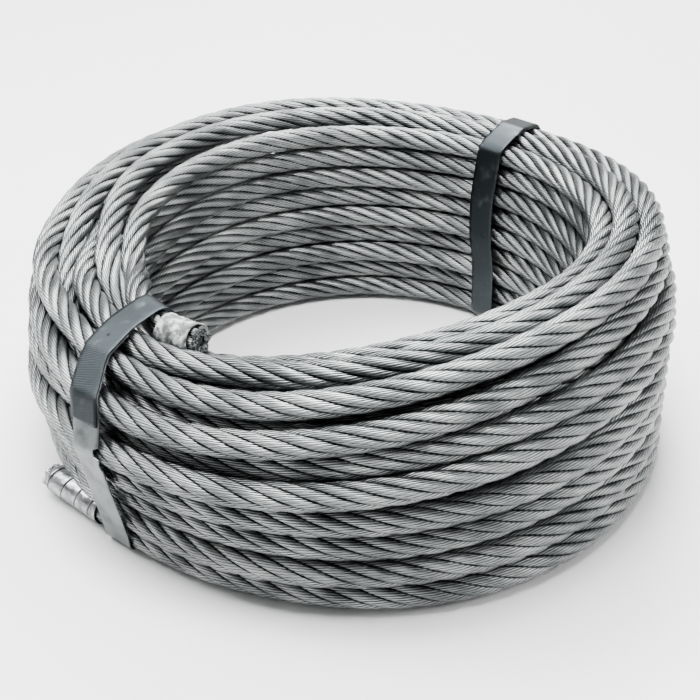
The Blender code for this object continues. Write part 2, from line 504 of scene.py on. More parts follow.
def rounded(points: np.ndarray) -> np.ndarray:
    """Draws a smooth curve through points.

    Args:
        points: the points.

    Returns:
        Four times as many points, on the curve.
    """
    padded = np.concatenate([2 * points[:1] - points[1:2], points, 2 * points[-1:] - points[-2:-1]])
    a, b, c, d = padded[:-3], padded[1:-2], padded[2:-1], padded[3:]
    pieces = [0.5 * (2 * b + (c - a) * t + (2 * a - 5 * b + 4 * c - d) * t ** 2
                     + (3 * b - a - 3 * c + d) * t ** 3) for t in (0.0, 0.25, 0.5, 0.75)]
    return np.concatenate([np.stack(pieces, axis=1).reshape(-1, 3), points[-1:]])


def smooth(share: np.ndarray) -> np.ndarray:
    """Smooth step of a share from 0 to 1."""
    share = np.clip(share, 0.0, 1.0)
    return share * share * (3.0 - 2.0 * share)


def axes_across(tangent: Vector) -> tuple[Vector, Vector]:
    """Level direction across a line, and the one square to both."""
    normal = Vector((tangent.y, -tangent.x, 0.0)).normalized()
    return normal, tangent.cross(normal)


def add_object(name: str, data: bpy.types.ID) -> bpy.types.Object:
    """Adds an object to the scene.

    Args:
        name: its name.
        data: its mesh, light or camera.

    Returns:
        The object.
    """
    added = bpy.data.objects.new(name, data)
    bpy.context.scene.collection.objects.link(added)
    return added


def add_mesh(name: str, points: list[Triple], edges: list[tuple[int, int]],
             faces: list[tuple[int, ...]]) -> bpy.types.Object:
    """Adds a mesh to the scene.

    Args:
        name: its name.
        points: its vertices.
        edges: its loose edges.
        faces: its faces.

    Returns:
        The object.
    """
    mesh = bpy.data.meshes.new(name)
    mesh.from_pydata([tuple(point) for point in points], edges, faces)
    return add_object(name, mesh)


def add_line(name: str, points: np.ndarray) -> bpy.types.Object:
    """Object with one open line of edges through the points."""
    return add_mesh(name, points, [(i, i + 1) for i in range(len(points) - 1)], [])


def add_skin(name: str, bm: bmesh.types.BMesh, finish: Finish) -> bpy.types.Object:
    """Turns a bmesh into a smooth object.

    Args:
        name: the object's name.
        bm: the bmesh, which is freed.
        finish: the object's finish.

    Returns:
        The object.
    """
    mesh = bpy.data.meshes.new(name)
    bm.to_mesh(mesh)
    bm.free()
    mesh.shade_smooth()
    mesh.materials.append(finish.build())
    return add_object(name, mesh)


# winding


@dataclass(frozen=True)
class RingWave:
    """Size that rises and falls once and twice round the ring."""

    mean: float
    cos1: float = 0.0
    sin1: float = 0.0
    cos2: float = 0.0
    sin2: float = 0.0

    def at(self, azimuth: np.ndarray) -> np.ndarray:
        """The size at each azimuth."""
        once = self.cos1 * np.cos(azimuth) + self.sin1 * np.sin(azimuth)
        twice = self.cos2 * np.cos(2 * azimuth) + self.sin2 * np.sin(2 * azimuth)
        return self.mean + once + twice


@dataclass(frozen=True)
class LooseTurn:
    """Stretch where one turn stands out of its place in the winding.

    The turn is named by its column and row. Azimuth and spread are in degrees.
    """

    column: int
    row: int
    azimuth: float
    spread: float
    outward: float
    upward: float

    def swell(self, azimuth: np.ndarray) -> np.ndarray:
        """Share of the stretch's shift at each azimuth."""
        away = (azimuth - self.azimuth + 180.0) % 360.0 - 180.0
        return np.exp(-0.5 * (away / self.spread * 2.0) ** 2)


@dataclass
class Winding:
    """Route of the rope through its turns, from the lower end to the upper one.

    Turns lie in columns round the bore. The outer column is wound first, from the
    floor up, then the next one down, and the two inner ones together, up again.
    """

    rope: float = 0.010
    rows: tuple[int, ...] = (9, 9, 7, 7)
    bore: RingWave = RingWave(0.08705, 0.00812, -0.00316, 0.00148, 0.00244)
    rim: RingWave = RingWave(0.13090, 0.00165, 0.00015, -0.00145, -0.00126)
    height: RingWave = RingWave(0.08939, 0.00679, 0.00792, 0.00136, -0.00490)
    lean: RingWave = RingWave(-0.00045, 0.00050, -0.00212)
    tuck: RingWave = RingWave(0.00149, -0.00307, 0.00040, 0.00076, -0.00008)
    shoulder: RingWave = RingWave(0.0052, 0.0010, 0.0023)
    drops: tuple[RingWave, ...] = (
        RingWave(0.0073, 0.0, 0.0024),
        RingWave(0.0022, 0.0, 0.0019),
        RingWave(0.0050, 0.0, 0.0018),
        RingWave(0.0137, 0.0013, -0.0015),
    )
    lowest: float = 0.0060
    seam: float = 231.0
    crossing: float = 0.22
    climb: float = 0.12
    end_rise: float = 0.0095
    stations: int = 72
    settling: int = 400
    closeness: float = 0.995
    push: float = 0.42
    firmness: float = 0.03
    evenness: float = 0.12
    top_end: float = 242.5
    tail: float = 0.036
    tail_splay: float = 0.0015
    tail_points: int = 7
    tail_sweep: float = 80.0
    loose: tuple[LooseTurn, ...] = tuple(LooseTurn(*turn) for turn in (
        (3, 0, 238.0, 50.0, -0.0025, 0.0), (3, 0, 290.0, 45.0, 0.0015, 0.0),
        (3, 1, 275.0, 60.0, 0.0020, 0.0010), (3, 1, 235.0, 50.0, -0.0010, 0.0022),
        (3, 2, 310.0, 80.0, 0.0, 0.0022), (3, 3, 238.0, 50.0, 0.0010, 0.0028),
        (3, 3, 315.0, 60.0, 0.0, 0.0015), (3, 4, 245.0, 70.0, 0.0, 0.0045),
        (3, 4, 320.0, 90.0, 0.0, 0.0062), (3, 5, 262.0, 42.0, -0.0055, 0.0),
        (3, 5, 325.0, 60.0, 0.0, 0.0040), (3, 6, 150.0, 60.0, 0.0015, 0.0020),
        (3, 6, 250.0, 70.0, 0.0, -0.0040), (3, 6, 320.0, 60.0, 0.0, 0.0022),
        (3, 6, 295.0, 66.0, -0.0040, 0.0028), (2, 5, 296.0, 68.0, -0.0025, -0.0035),
        (2, 6, 110.0, 60.0, 0.0060, 0.0), (2, 6, 52.0, 60.0, 0.0030, -0.0012),
        (2, 6, 245.0, 50.0, 0.0, -0.0035), (2, 6, 315.0, 110.0, 0.0, 0.0030),
        (1, 8, 250.0, 60.0, 0.0, -0.0012), (1, 8, 232.0, 44.0, 0.0, -0.0050),
        (0, 8, 230.0, 44.0, 0.0010, -0.0040), (0, 8, 272.0, 50.0, 0.0, 0.0030),
        (1, 7, 236.0, 60.0, 0.0, -0.0030), (0, 7, 236.0, 60.0, 0.0, -0.0050),
        (0, 6, 236.0, 60.0, 0.0, -0.0030),
    ))
    radius: np.ndarray = field(init=False)
    level: np.ndarray = field(init=False)
    real: np.ndarray = field(init=False)

    def order(self) -> list[tuple[int, int]]:
        """Lists the places of the turns.

        Returns:
            Each turn's column and row, in the order that the rope takes.
        """
        last = len(self.rows) - 1
        places = [(last, row) for row in range(self.rows[last])]
        places += [(2, row) for row in reversed(range(self.rows[2]))]
        for row in range(max(self.rows[0], self.rows[1])):
            pair = (1, 0) if row % 2 == 0 else (0, 1)
            places += [(column, row) for column in pair if row < self.rows[column]]
        return places

    def azimuths(self) -> np.ndarray:
        """Azimuths of one turn's stations, counterclockwise from the seam."""
        steps = np.arange(self.stations) / self.stations
        return math.radians(self.seam) + FULL_TURN * steps

    def place(self, column: int, row: int) -> tuple[np.ndarray, np.ndarray]:
        """Works out where a turn would lie if it stayed in its column and row.

        Args:
            column: column, counted from the bore.
            row: row, counted from the floor.

        Returns:
            Its radius and its height at each station.
        """
        azimuth = self.azimuths()
        half = self.rope / 2
        share = column / (len(self.rows) - 1)
        inner = self.bore.at(azimuth) + half
        outer = self.rim.at(azimuth) - half
        crest = self.height.at(azimuth) - self.drops[column].at(azimuth) - half
        climb = row / (self.rows[column] - 1)
        level = self.lowest + (crest - self.lowest) * climb
        radius = inner + (outer - inner) * share + self.lean.at(azimuth) * (1.0 - 2.0 * climb)
        radius -= self.tuck.at(azimuth) * share * (1.0 - climb) ** 2
        radius -= self.shoulder.at(azimuth) * share ** 3 * climb ** 4
        for turn in self.loose:
            if (turn.column, turn.row) == (column, row):
                swell = turn.swell(np.degrees(azimuth))
                radius = radius + turn.outward * swell
                level = level + turn.upward * swell
        return radius, level

    def wind(self) -> None:
        """Works out every turn's radius and height, then lets the turns settle.

        Each turn crosses to the next place just before the seam. The last one climbs
        onto the turn below it there, and the rope ends a little past the seam.
        """
        places = [self.place(*spot) for spot in self.order()]
        places.append((places[-1][0], places[-1][1] + self.end_rise))
        share = np.arange(self.stations) / self.stations
        crossed = smooth((share - 1.0 + self.crossing) / self.crossing)
        climbed = smooth((share - 1.0 + self.climb) / self.climb)
        last = len(places) - 1
        radius, level = [], []
        for i, (r, z) in enumerate(places):
            following = places[min(i + 1, last)]
            moved = climbed if i + 1 == last else crossed
            radius.append(r + (following[0] - r) * moved)
            level.append(z + (following[1] - z) * moved)
        self.radius, self.level = np.array(radius), np.array(level)
        self.real = np.ones(self.radius.shape, dtype=bool)
        self.real[-1, self.end_stations() + 1:] = False
        self.settle()

    def end_stations(self) -> int:
        """Stations from the seam to the rope's upper end."""
        return int(round((self.top_end - self.seam) / 360.0 * self.stations))

    def settle(self) -> None:
        """Moves the turns apart where they would lie in each other."""
        aim_r, aim_z = self.radius.copy(), self.level.copy()
        apart = self.rope * self.closeness
        pairs = self.real[:, None, :] & self.real[None, :, :]
        pairs &= ~np.eye(len(aim_r), dtype=bool)[:, :, None]
        used = int(self.real.sum())
        for _ in range(self.settling):
            dr = self.radius[:, None, :] - self.radius[None, :, :]
            dz = self.level[:, None, :] - self.level[None, :, :]
            gap = np.hypot(dr, dz) + TINY
            push = np.where(pairs, np.clip(apart - gap, 0.0, None) / gap * self.push, 0.0)
            self.radius += (push * dr).sum(1) + (aim_r - self.radius) * self.firmness
            self.level += (push * dz).sum(1) + (aim_z - self.level) * self.firmness
            for values in (self.radius, self.level):
                flat = values.reshape(-1)[:used]
                inside = flat[1:-1]
                inside += ((flat[:-2] + flat[2:]) / 2 - inside) * self.evenness
            self.level = np.maximum(self.level, self.lowest)

    def tail_line(self) -> np.ndarray:
        """Works out the straight lower end.

        Returns:
            Its points, from the tip to just before the seam.
        """
        azimuth = math.radians(self.seam)
        outward = np.array([math.cos(azimuth), math.sin(azimuth), 0.0])
        back = np.array([math.sin(azimuth), -math.cos(azimuth), 0.0])
        root = outward * self.radius[0, 0] + np.array([0.0, 0.0, self.level[0, 0]])
        shares = np.linspace(1.0, 0.0, self.tail_points)[:-1]
        return np.array([root + back * self.tail * t + outward * self.tail_splay * t * t
                         for t in shares])

    def centre_line(self, step: float) -> np.ndarray:
        """Spaces points evenly along the rope's centre line.

        Args:
            step: distance between the points.

        Returns:
            The points, from the lower end to the upper one.
        """
        index = np.arange(int(self.real.sum()))
        azimuth = math.radians(self.seam) + FULL_TURN * index / self.stations
        radius = self.radius.reshape(-1)[index]
        level = self.level.reshape(-1)[index]
        turns = np.stack([radius * np.cos(azimuth), radius * np.sin(azimuth), level], axis=1)
        return even(rounded(np.concatenate([self.tail_line(), turns])), step)

    def crossing_at(self, turn: int, azimuth: float) -> tuple[float, float] | None:
        """Finds where one turn of the rope passes an azimuth.

        Args:
            turn: the turn, counted from the seam nearest to the azimuth.
            azimuth: the azimuth in degrees.

        Returns:
            Radius and height of the rope's centre there, or nothing past its ends.
        """
        away = (azimuth - self.seam + 180.0) % 360.0 - 180.0
        mark = (turn + away / 360.0) * self.stations
        last = int(self.real.sum()) - 1
        root = float(self.radius[0, 0])
        if mark < 0.0:
            reach = math.tan(math.radians(-away)) * root
            if away > -self.tail_sweep and reach < self.tail:
                return root / math.cos(math.radians(away)), float(self.level[0, 0])
            return None
        if mark > last:
            return None
        index = np.arange(last + 1)
        radius = np.interp(mark, index, self.radius.reshape(-1)[:last + 1])
        level = np.interp(mark, index, self.level.reshape(-1)[:last + 1])
        return float(radius), float(level)


# rope


def grow(source: bpy.types.Object, tree: bpy.types.NodeTree, name: str,
         values: dict[str, object]) -> bpy.types.Object:
    """Runs a Geometry Nodes tree on an object and keeps the result as a plain mesh.

    Args:
        source: object that the tree starts from. It is removed.
        tree: the Geometry Nodes tree.
        name: name of the new piece.
        values: the tree's inputs by name.

    Returns:
        The new piece.
    """
    modifier = source.modifiers.new(name, "NODES")
    modifier.node_group = tree
    for item in tree.interface.items_tree:
        if item.item_type == "SOCKET" and item.in_out == "INPUT" and item.name in values:
            modifier[item.identifier] = values[item.name]
    bpy.context.view_layer.update()
    evaluated = source.evaluated_get(bpy.context.evaluated_depsgraph_get())
    mesh = bpy.data.meshes.new_from_object(evaluated)
    mesh.name = name
    piece = add_object(name, mesh)
    bpy.data.objects.remove(source)
    return piece


def new_tree(name: str, inputs: dict[str, str]) -> tuple[Graph, bpy.types.bpy_prop_collection]:
    """Makes an empty Geometry Nodes tree.

    Args:
        name: the tree's name.
        inputs: type of each named input besides the geometry and the material.

    Returns:
        The graph, and the sockets of its inputs.
    """
    tree = bpy.data.node_groups.new(name, "GeometryNodeTree")
    tree.interface.new_socket("Geometry", in_out="INPUT", socket_type="NodeSocketGeometry")
    for socket, kind in {**inputs, "Material": "Material"}.items():
        tree.interface.new_socket(socket, in_out="INPUT", socket_type="NodeSocket" + kind)
    tree.interface.new_socket("Geometry", in_out="OUTPUT", socket_type="NodeSocketGeometry")
    graph = Graph(tree)
    return graph, graph.add("NodeGroupInput").outputs


def end_tree(graph: Graph, geometry: Socket, material: Socket) -> bpy.types.NodeTree:
    """Ends a tree in real geometry with its material.

    Args:
        graph: the tree's graph.
        geometry: socket of the geometry so far.
        material: socket of the material.

    Returns:
        The finished tree.
    """
    real = graph.add("GeometryNodeRealizeInstances", {"Geometry": geometry})
    dressed = graph.add("GeometryNodeSetMaterial", {
        "Geometry": real.outputs["Geometry"], "Material": material})
    graph.add("NodeGroupOutput", {"Geometry": dressed.outputs["Geometry"]})
    return graph.tree


def strand_tree() -> bpy.types.NodeTree:
    """Lays one strand in a helix round the rope's centre line.

    Returns:
        The tree.
    """
    graph, given = new_tree("lay_a_strand", {
        "Lay length": "Float", "Helix radius": "Float", "Strand radius": "Float",
        "Start angle": "Float", "Hand": "Float", "Sides": "Int"})
    line = graph.add("GeometryNodeMeshToCurve", {"Mesh": given["Geometry"]})
    level = graph.add("GeometryNodeSetCurveNormal", {"Curve": line.outputs["Curve"]}, mode="Z_UP")
    run = graph.add("GeometryNodeSplineParameter").outputs["Length"]
    turned = graph.times(graph.math("DIVIDE", run, given["Lay length"]), FULL_TURN)
    phase = graph.plus(graph.times(turned, given["Hand"]), given["Start angle"])
    normal = graph.add("GeometryNodeInputNormal").outputs["Normal"]
    tangent = graph.add("GeometryNodeInputTangent").outputs["Tangent"]
    side = graph.vector("CROSS_PRODUCT", tangent, normal)
    spoke = graph.vector("ADD", graph.scaled(normal, graph.math("COSINE", phase)),
                         graph.scaled(side, graph.math("SINE", phase)))
    route = graph.store(level.outputs["Curve"], "spoke", VECTOR, spoke)
    route = graph.store(route, "run", "FLOAT", run)
    offset = graph.scaled(graph.named("spoke", VECTOR), given["Helix radius"])
    laid = graph.add("GeometryNodeSetPosition", {"Geometry": route, "Offset": offset})
    ring = graph.add("GeometryNodeCurvePrimitiveCircle", {
        "Resolution": given["Sides"], "Radius": given["Strand radius"]})
    profile = graph.store(ring.outputs["Curve"], "round", VECTOR,
                          graph.add("GeometryNodeInputPosition").outputs["Position"])
    tube = graph.add("GeometryNodeCurveToMesh", {
        "Curve": laid.outputs["Geometry"], "Profile Curve": profile, "Fill Caps": True})
    # how squarely the skin faces out from the rope's middle; the strand finish paints shade, partly
    # grease, where this is low
    outward = graph.vector("DOT_PRODUCT", graph.add("GeometryNodeInputNormal").outputs["Normal"],
                           graph.named("spoke", VECTOR))
    skin = graph.store(tube.outputs["Mesh"], OUTWARD, "FLOAT", outward)
    around = graph.split(graph.named("round", VECTOR))
    wire_place = graph.add("ShaderNodeCombineXYZ", {
        "X": graph.math("DIVIDE", around["X"], given["Strand radius"]),
        "Y": graph.math("DIVIDE", around["Y"], given["Strand radius"]),
        "Z": graph.named("run", "FLOAT")})
    skin = graph.store(skin, WIRE_PLACE, VECTOR, wire_place.outputs["Vector"])
    shaded = graph.add("GeometryNodeSetShadeSmooth", {"Geometry": skin})
    return end_tree(graph, shaded.outputs["Geometry"], given["Material"])


def stub_tree(sides: int, spread: Band) -> bpy.types.NodeTree:
    """Sets a short wire end on every point, along the cut's normal.

    Args:
        sides: sides of a wire.
        spread: least and greatest size of a wire, as a share.

    Returns:
        The tree.
    """
    graph, given = new_tree("set_wire_ends", {
        "Wire radius": "Float", "Wire length": "Float", "Facing": "Vector", "Seed": "Int"})
    wire = graph.add("GeometryNodeMeshCylinder", {
        "Vertices": sides, "Radius": given["Wire radius"], "Depth": given["Wire length"]})
    turn = graph.add("FunctionNodeAlignEulerToVector", {"Vector": given["Facing"]}, axis="Z")
    size = graph.add("FunctionNodeRandomValue", {"Seed": given["Seed"]}, data_type="FLOAT")
    size.inputs[2].default_value, size.inputs[3].default_value = spread
    stubs = graph.add("GeometryNodeInstanceOnPoints", {
        "Points": given["Geometry"], "Instance": wire.outputs["Mesh"],
        "Rotation": turn.outputs["Rotation"], "Scale": size.outputs[1]})
    return end_tree(graph, stubs.outputs["Instances"], given["Material"])


@dataclass
class LaidRope:
    """Six strands laid round a fibre core, with the wires showing at both cuts."""

    winding: Winding
    strands: int = 6
    lay_length: float = 0.065
    hand: Direction = Direction.RIGHT_HAND
    steps_per_lay: int = 14
    strand_sides: int = 8
    strand_radius: float = 0.0019
    core_radius: float = 0.0036
    core_sides: int = 8
    core_step: float = 0.0080
    wire_rings: tuple[int, ...] = (1, 6, 12)
    wire_length: float = 0.0014
    wire_sides: int = 10
    wire_spread: Band = (0.86, 1.06)
    wire_fill: float = 0.94
    wire_seed: int = 7
    steel: Finish = StrandSteel("drawn_strand_wire", 0.33, 1.0)
    fibre: Finish = FibreCore("greased_fibre", 0.60, 0.0)
    cut: Finish = CutSteel("cut_wire", 0.30, 1.0)

    def build(self) -> list[bpy.types.Object]:
        """Makes the strands, the core and the wire ends.

        Returns:
            The pieces, the core first.
        """
        steel, fibre = self.steel.build(), self.fibre.build()
        tree = strand_tree()
        line = self.winding.centre_line(self.lay_length / self.steps_per_lay)
        helix = self.winding.rope / 2 - self.strand_radius
        core_line = self.winding.centre_line(self.core_step)
        core = grow(add_line("core_line", core_line), tree, "rope_core", {
            "Lay length": self.lay_length, "Helix radius": 0.0,
            "Strand radius": self.core_radius, "Hand": self.hand.value,
            "Sides": self.core_sides, "Material": fibre,
        })
        pieces = [core]
        for i in range(self.strands):
            pieces.append(grow(add_line("strand_line", line), tree, f"rope_strand_{i + 1}", {
                "Lay length": self.lay_length, "Helix radius": helix,
                "Strand radius": self.strand_radius, "Hand": self.hand.value,
                "Start angle": FULL_TURN * i / self.strands,
                "Sides": self.strand_sides, "Material": steel,
            }))
        for piece in pieces:
            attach(piece, "root")
            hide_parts("rope_coil")
        length = float(marks_along(line)[-1])
        ends = self.wire_ends(line)
        LOG.info("rope: %d turns, %.2f m", len(self.winding.order()), length)
        return pieces + ends

    def wire_ends(self, line: np.ndarray) -> list[bpy.types.Object]:
        """Makes the cut ends of the wires in the six strands, at both ends of the rope.

        Args:
            line: points of the rope's centre line.

        Returns:
            The piece at the upper end and the piece at the lower one.
        """
        tree, cut = stub_tree(self.wire_sides, self.wire_spread), self.cut.build()
        pieces = []
        length = float(marks_along(line)[-1])
        wire = self.winding.rope / 6 / (2 * len(self.wire_rings) - 1)
        for name, tip, before, run in (("upper", line[-1], line[-2], length),
                                       ("lower", line[0], line[1], 0.0)):
            facing = Vector(tip - before).normalized()
            points = self.wire_points(Vector(tip), facing if run else -facing, run, wire)
            piece = grow(add_mesh(name, points, [], []), tree, f"{name}_cut_wires", {
                "Wire radius": wire * self.wire_fill, "Wire length": self.wire_length,
                "Facing": facing, "Seed": self.wire_seed, "Material": cut,
            })
            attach(piece, "root")
            pieces.append(piece)
        return pieces

    def wire_points(self, tip: Vector, tangent: Vector, run: float, wire: float) -> list[Vector]:
        """Finds the middles of the wires at a cut.

        Args:
            tip: middle of the cut.
            tangent: the rope's direction there, towards its upper end.
            run: distance of the cut from the rope's lower end.
            wire: radius of a wire.

        Returns:
            The wires' middles, strand by strand and ring by ring.
        """
        normal, side = axes_across(tangent)
        points = []
        for i in range(self.strands):
            phase = FULL_TURN * (i / self.strands + self.hand.value * run / self.lay_length)
            spoke = normal * math.cos(phase) + side * math.sin(phase)
            middle = tip + spoke * (self.winding.rope / 3)
            for ring, count in enumerate(self.wire_rings):
                for j in range(count):
                    angle = FULL_TURN * (j + 0.5 * ring) / count
                    spoke = normal * math.cos(angle) + side * math.sin(angle)
                    points.append(middle + spoke * (ring * wire * 2.0))
        return points


# end wraps


@dataclass(frozen=True)
class Crease:
    """One set of creases in a wrap, by turns round it and radians per metre along it."""

    share: float
    turns: int
    along: float
    cross_turns: int
    cross_along: float

    def at(self, mark: float, angle: float) -> float:
        """Height of the creases at a place along and round the wrap."""
        wave = math.sin(self.turns * angle + mark * self.along)
        return self.share * wave * math.sin(mark * self.cross_along + self.cross_turns * angle)


@dataclass
class EndWrap:
    """Tape wound round one end of the rope."""

    name: str
    node: str
    slot: str
    finish: Finish
    length: float
    setback: float
    radius: float = 0.0053
    wall: float = 0.0005
    ripple: float = 0.00022
    creases: tuple[Crease, ...] = (
        Crease(1.0, 5, 900.0, 1, 1500.0), Crease(0.5, 11, -2600.0, 3, 3700.0))
    rounded_tip: bool = False
    tip_from: float = 0.90
    tip_share: float = 0.10
    tip_taper: float = 0.55
    tip_least: float = 0.05
    sides: int = 40
    step: float = 0.0005
    nudge: float = 0.0004

    def build(self, line: np.ndarray) -> bpy.types.Object:
        """Makes the sleeve along the last stretch of a line.

        Args:
            line: points of the rope's centre line that end at the wrapped tip.

        Returns:
            The sleeve.
        """
        dense = even(line, self.step)
        marks = np.arange(len(dense)) * np.linalg.norm(dense[1] - dense[0])
        reach = marks[-1] - self.setback
        rows = np.linspace(reach - self.length, reach, max(8, int(self.length / self.step)))
        bm = bmesh.new()
        outer, inner = [], []
        for k, mark in enumerate(rows):
            centre, ahead, behind = (
                Vector([float(np.interp(mark + off, marks, dense[:, i])) for i in range(3)])
                for off in (0.0, self.nudge, -self.nudge))
            normal, side = axes_across((ahead - behind).normalized())
            taper = self.taper(k / (len(rows) - 1))
            for ring, crinkled in ((outer, True), (inner, False)):
                loop = []
                for j in range(self.sides):
                    angle = FULL_TURN * j / self.sides
                    spoke = normal * math.cos(angle) + side * math.sin(angle)
                    size = self.size(mark, angle, crinkled) * taper
                    loop.append(bm.verts.new(centre + spoke * size))
                ring.append(loop)
        self.skin(bm, outer, rows, False)
        self.skin(bm, inner, rows, True)
        for end in (0, -1):
            for j in range(self.sides):
                k = (j + 1) % self.sides
                corners = [outer[end][j], outer[end][k], inner[end][k], inner[end][j]]
                bm.faces.new(corners if end == -1 else corners[::-1])
        bmesh.ops.recalc_face_normals(bm, faces=bm.faces)
        piece = add_skin(self.name, bm, self.finish)
        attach(piece, "root")
        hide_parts(self.node)
        LOG.info("%s: %.1f mm of wrap", self.name, self.length * 1000)
        return piece

    def taper(self, share: float) -> float:
        """Size of the sleeve at a share of its length, less at a rounded tip."""
        past = max(0.0, (share - self.tip_from) / self.tip_share) if self.rounded_tip else 0.0
        return math.sqrt(max(self.tip_least, 1.0 - past ** 2 * self.tip_taper))

    def size(self, mark: float, angle: float, crinkled: bool) -> float:
        """Works out the sleeve's radius at one place.

        Args:
            mark: place along the line.
            angle: direction across it.
            crinkled: whether this is the outer side, with its creases.

        Returns:
            The radius.
        """
        if not crinkled:
            return self.radius
        creases = sum(crease.at(mark, angle) for crease in self.creases)
        return self.radius + self.wall + self.ripple * creases

    def skin(self, bm: bmesh.types.BMesh, loops: list[list[bmesh.types.BMVert]],
             rows: np.ndarray, inside: bool) -> None:
        """Makes faces between rings of vertices, with a UV map of turns and metres.

        Args:
            bm: the bmesh.
            loops: the rings.
            rows: place of each ring along the line.
            inside: whether the faces look inward.
        """
        uv = bm.loops.layers.uv.get(STRIP_UV) or bm.loops.layers.uv.new(STRIP_UV)
        for k in range(len(loops) - 1):
            for j in range(self.sides):
                m = (j + 1) % self.sides
                corners = [(j, k, j), (j + 1, k, m), (j + 1, k + 1, m), (j, k + 1, j)]
                if inside:
                    corners.reverse()
                face = bm.faces.new([loops[row][column] for _, row, column in corners])
                for loop, (turn, row, _) in zip(face.loops, corners):
                    loop[uv].uv = (turn / self.sides, float(rows[row] - rows[0]))


# straps


